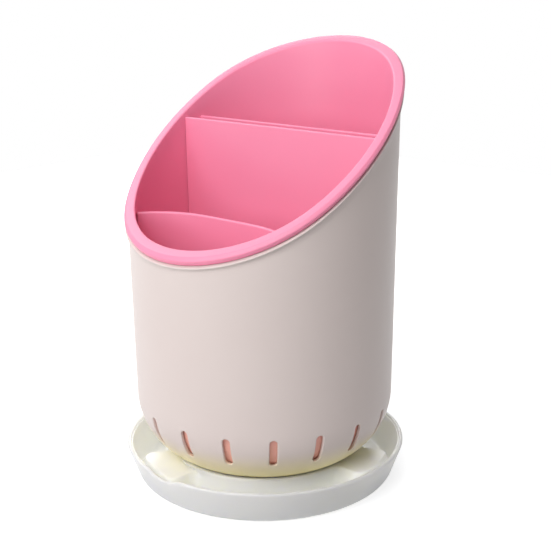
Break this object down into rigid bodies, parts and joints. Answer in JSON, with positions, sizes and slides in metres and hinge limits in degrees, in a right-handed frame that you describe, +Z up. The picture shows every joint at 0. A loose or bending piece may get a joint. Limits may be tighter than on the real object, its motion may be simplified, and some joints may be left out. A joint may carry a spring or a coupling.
{
  "type": "draining cutlery holder",
  "caption": "Slant-topped draining cutlery holder: a slotted outer pot on a drip tray, with a lift-out liner whose rim overhangs the pot and removable dividers inside.",
  "frame": {"origin": "centre of the tray's footprint on the table", "axes": "+Z is up; the low side of the slanted rim faces -Y, the high side +Y; +X is to the right seen from the front"},
  "size_m": [0.14, 0.1398, 0.2125],
  "materials": {
    "tray_plastic": "glossy moulded polypropylene, pale ivory and slightly translucent",
    "pot_plastic": "glossy moulded polypropylene, warm beige grey",
    "liner_plastic": "satin moulded polypropylene, rose pink",
    "pad_rubber": "matte pale grey rubber"
  },
  "bodies": {
    "tray": {"drip_tray": "tray_plastic", "non_slip_pad_1": "pad_rubber", "non_slip_pad_2": "pad_rubber", "non_slip_pad_3": "pad_rubber", "non_slip_pad_4": "pad_rubber"},
    "pot": {"outer_pot": "pot_plastic"},
    "liner": {"inner_liner": "liner_plastic"},
    "front_panel": {"slot_front_panel": "liner_plastic"},
    "rear_panel": {"slot_rear_panel": "liner_plastic"},
    "curved_panel": {"curved_divider": "liner_plastic"}
  },
  "joints": [
    {"name": "pot_lift", "type": "slide", "parent": "tray", "child": "pot", "axis": [0, 0, 1], "range_m": [0, 0.06]},
    {"name": "liner_lift", "type": "slide", "parent": "pot", "child": "liner", "axis": [0, 0, 1], "range_m": [0, 0.2]},
    {"name": "slot_front_panel_lift", "type": "slide", "parent": "liner", "child": "front_panel", "axis": [0, 0, 1], "range_m": [0, 0.2]},
    {"name": "slot_rear_panel_lift", "type": "slide", "parent": "liner", "child": "rear_panel", "axis": [0, 0, 1], "range_m": [0, 0.2]},
    {"name": "curved_divider_lift", "type": "slide", "parent": "liner", "child": "curved_panel", "axis": [0, 0, 1], "range_m": [0, 0.2]}
  ]
}
